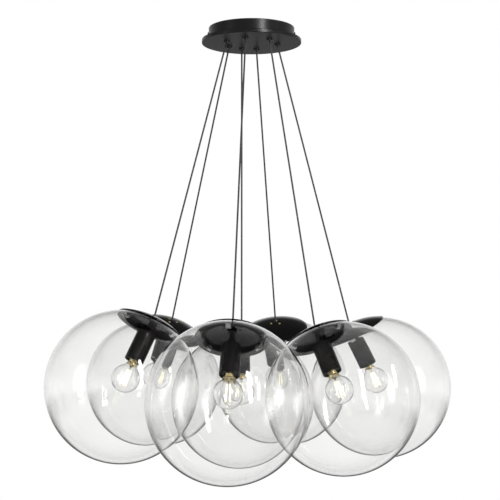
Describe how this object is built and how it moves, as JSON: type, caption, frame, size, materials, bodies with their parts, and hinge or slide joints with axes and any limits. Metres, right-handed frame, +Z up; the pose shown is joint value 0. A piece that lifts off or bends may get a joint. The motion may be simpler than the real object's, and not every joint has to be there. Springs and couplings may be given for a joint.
{
  "type": "cluster pendant",
  "caption": "Cluster ceiling pendant: clear glass globes with black dished lids and small filament lamps, each hung on its own cord from a two-tier round canopy.",
  "frame": {"origin": "on the ceiling plane, midway between the two slots of the ceiling bracket", "axes": "+Z up into the ceiling, -Y towards the front of the cluster, +X to its right"},
  "size_m": [0.6891, 0.8656, 0.7752],
  "materials": {
    "canopy_paint": "satin black powder coat",
    "lid_enamel": "gloss black",
    "holder_black": "satin black",
    "globe_glass": "clear blown glass",
    "bulb_glass": "clear lamp glass",
    "cap_brass": "brass screw cap",
    "cord_sleeve": "fine black textile sleeve",
    "bush_plastic": "black nylon",
    "zinc_steel": "zinc-plated steel",
    "block_plastic": "white polyamide"
  },
  "bodies": {
    "canopy": {"canopy_tier": "canopy_paint", "canopy_plate": "canopy_paint", "cord_bushes": "bush_plastic", "bush_nuts": "zinc_steel", "ceiling_bracket": "zinc_steel", "canopy_screws": "canopy_paint", "terminal_block": "block_plastic"},
    "pendant_middle": {"globe_middle": "globe_glass", "lid_middle": "lid_enamel", "cord_grip_middle": "cord_sleeve", "lampholder_middle": "holder_black", "bulb_middle": "bulb_glass", "lamp_cap_middle": "cap_brass", "cord_middle": "cord_sleeve"},
    "pendant_left": {"globe_left": "globe_glass", "lid_left": "lid_enamel", "cord_grip_left": "cord_sleeve", "lampholder_left": "holder_black", "bulb_left": "bulb_glass", "lamp_cap_left": "cap_brass", "cord_left": "cord_sleeve"},
    "pendant_front": {"globe_front": "globe_glass", "lid_front": "lid_enamel", "cord_grip_front": "cord_sleeve", "lampholder_front": "holder_black", "bulb_front": "bulb_glass", "lamp_cap_front": "cap_brass", "cord_front": "cord_sleeve"},
    "pendant_front_right": {"globe_front_right": "globe_glass", "lid_front_right": "lid_enamel", "cord_grip_front_right": "cord_sleeve", "lampholder_front_right": "holder_black", "bulb_front_right": "bulb_glass", "lamp_cap_front_right": "cap_brass", "cord_front_right": "cord_sleeve"},
    "pendant_right": {"globe_right": "globe_glass", "lid_right": "lid_enamel", "cord_grip_right": "cord_sleeve", "lampholder_right": "holder_black", "bulb_right": "bulb_glass", "lamp_cap_right": "cap_brass", "cord_right": "cord_sleeve"},
    "pendant_back": {"globe_back": "globe_glass", "lid_back": "lid_enamel", "cord_grip_back": "cord_sleeve", "lampholder_back": "holder_black", "bulb_back": "bulb_glass", "lamp_cap_back": "cap_brass", "cord_back": "cord_sleeve"},
    "pendant_back_left": {"globe_back_left": "globe_glass", "lid_back_left": "lid_enamel", "cord_grip_back_left": "cord_sleeve", "lampholder_back_left": "holder_black", "bulb_back_left": "bulb_glass", "lamp_cap_back_left": "cap_brass", "cord_back_left": "cord_sleeve"}
  },
  "joints": [
    {"name": "middle_twist", "type": "hinge", "parent": "canopy", "child": "pendant_middle", "pos_m": [-0.01731, 0.04262, -0.027], "axis": [0, 0, 1], "range_deg": [-90, 90]},
    {"name": "left_swing", "type": "hinge", "parent": "canopy", "child": "pendant_left", "pos_m": [-0.04323, -0.01573, -0.027], "axis": [-0.5872, 0.8095, 0], "range_deg": [0, 12]},
    {"name": "front_swing", "type": "hinge", "parent": "canopy", "child": "pendant_front", "pos_m": [-0.01035, -0.04482, -0.027], "axis": [-0.9953, 0.0968, 0], "range_deg": [0, 12]},
    {"name": "front_right_swing", "type": "hinge", "parent": "canopy", "child": "pendant_front_right", "pos_m": [0.03078, -0.03419, -0.027], "axis": [-0.6928, -0.7212, 0], "range_deg": [0, 12]},
    {"name": "right_swing", "type": "hinge", "parent": "canopy", "child": "pendant_right", "pos_m": [0.0453, 0.00799, -0.027], "axis": [0.4128, -0.9108, 0], "range_deg": [0, 12]},
    {"name": "back_swing", "type": "hinge", "parent": "canopy", "child": "pendant_back", "pos_m": [0.00878, 0.04516, -0.027], "axis": [0.983, -0.1838, 0], "range_deg": [0, 12]},
    {"name": "back_left_swing", "type": "hinge", "parent": "canopy", "child": "pendant_back_left", "pos_m": [-0.03943, 0.02369, -0.027], "axis": [0.8151, 0.5794, 0], "range_deg": [0, 12]}
  ]
}
